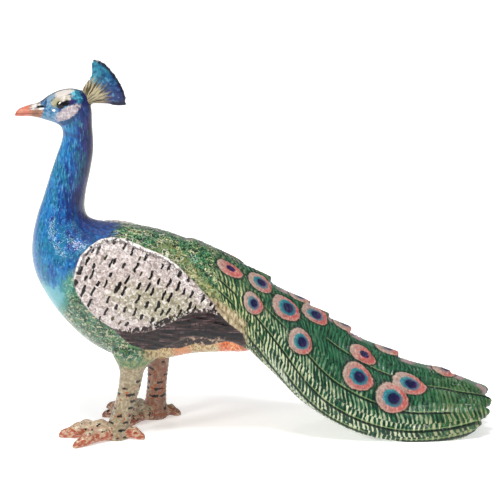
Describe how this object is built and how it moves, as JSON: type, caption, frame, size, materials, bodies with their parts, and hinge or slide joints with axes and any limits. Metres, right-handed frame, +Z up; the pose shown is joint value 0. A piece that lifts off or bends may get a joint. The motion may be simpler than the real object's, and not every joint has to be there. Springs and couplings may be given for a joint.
{
  "type": "peacock figurine",
  "caption": "Standing peacock cast in glazed porcelain, head raised, wings folded, long train of eyespot feathers sloping back to the ground.",
  "frame": {"origin": "middle of the figure's box, on the surface it stands on", "axes": "+Z up, the bird looks along -X and its train runs back along +X, +Y is its right side"},
  "size_m": [0.1, 0.0268, 0.0798],
  "materials": {
    "glazed_porcelain": "hand-painted in blue, green, cream and salmon under a clear high-gloss glaze"
  },
  "bodies": {
    "root": {"peacock": "glazed_porcelain"}
  },
  "joints": []
}
